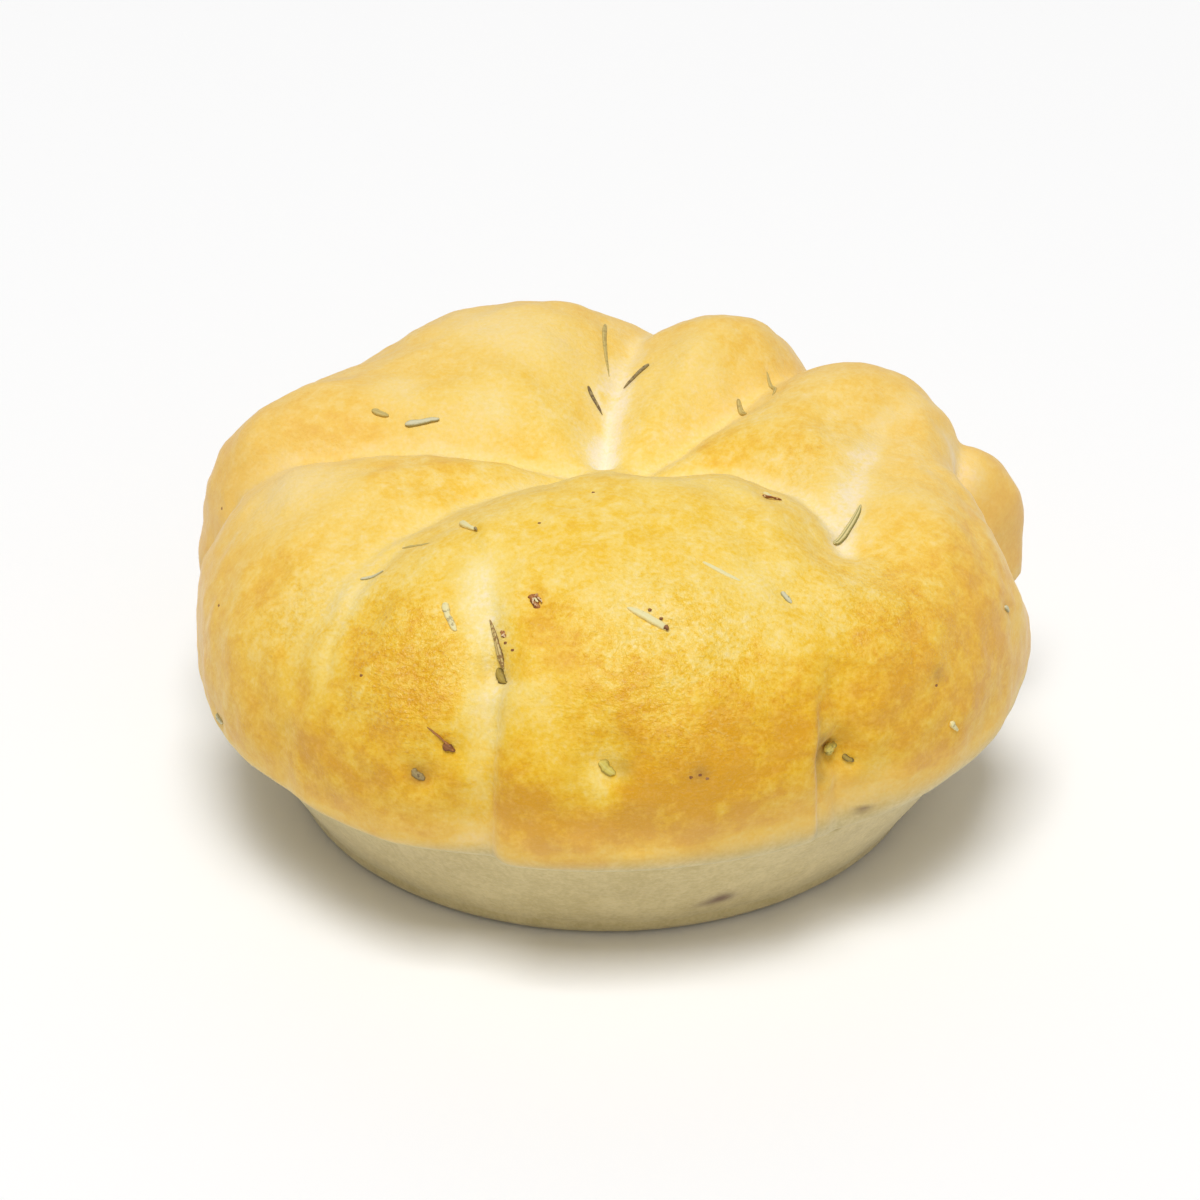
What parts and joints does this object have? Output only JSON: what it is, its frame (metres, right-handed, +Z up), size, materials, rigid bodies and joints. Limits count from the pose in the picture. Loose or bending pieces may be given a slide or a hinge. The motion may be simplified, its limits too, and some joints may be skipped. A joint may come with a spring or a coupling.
{
  "type": "focaccia bun",
  "caption": "Round focaccia bun with a creased, lobed golden crown that overhangs a smooth tapered base, and rosemary needles baked into the crust.",
  "frame": {"origin": "on the flat base, below the middle of the crown", "axes": "+Z up through the crown, +Y away from the side that the picture shows, +X to the right as the picture shows it"},
  "size_m": [0.1164, 0.1142, 0.0532],
  "materials": {
    "crust": "golden baked bread crust, a little oily"
  },
  "bodies": {
    "root": {"focaccia_bun": "crust"}
  },
  "joints": []
}
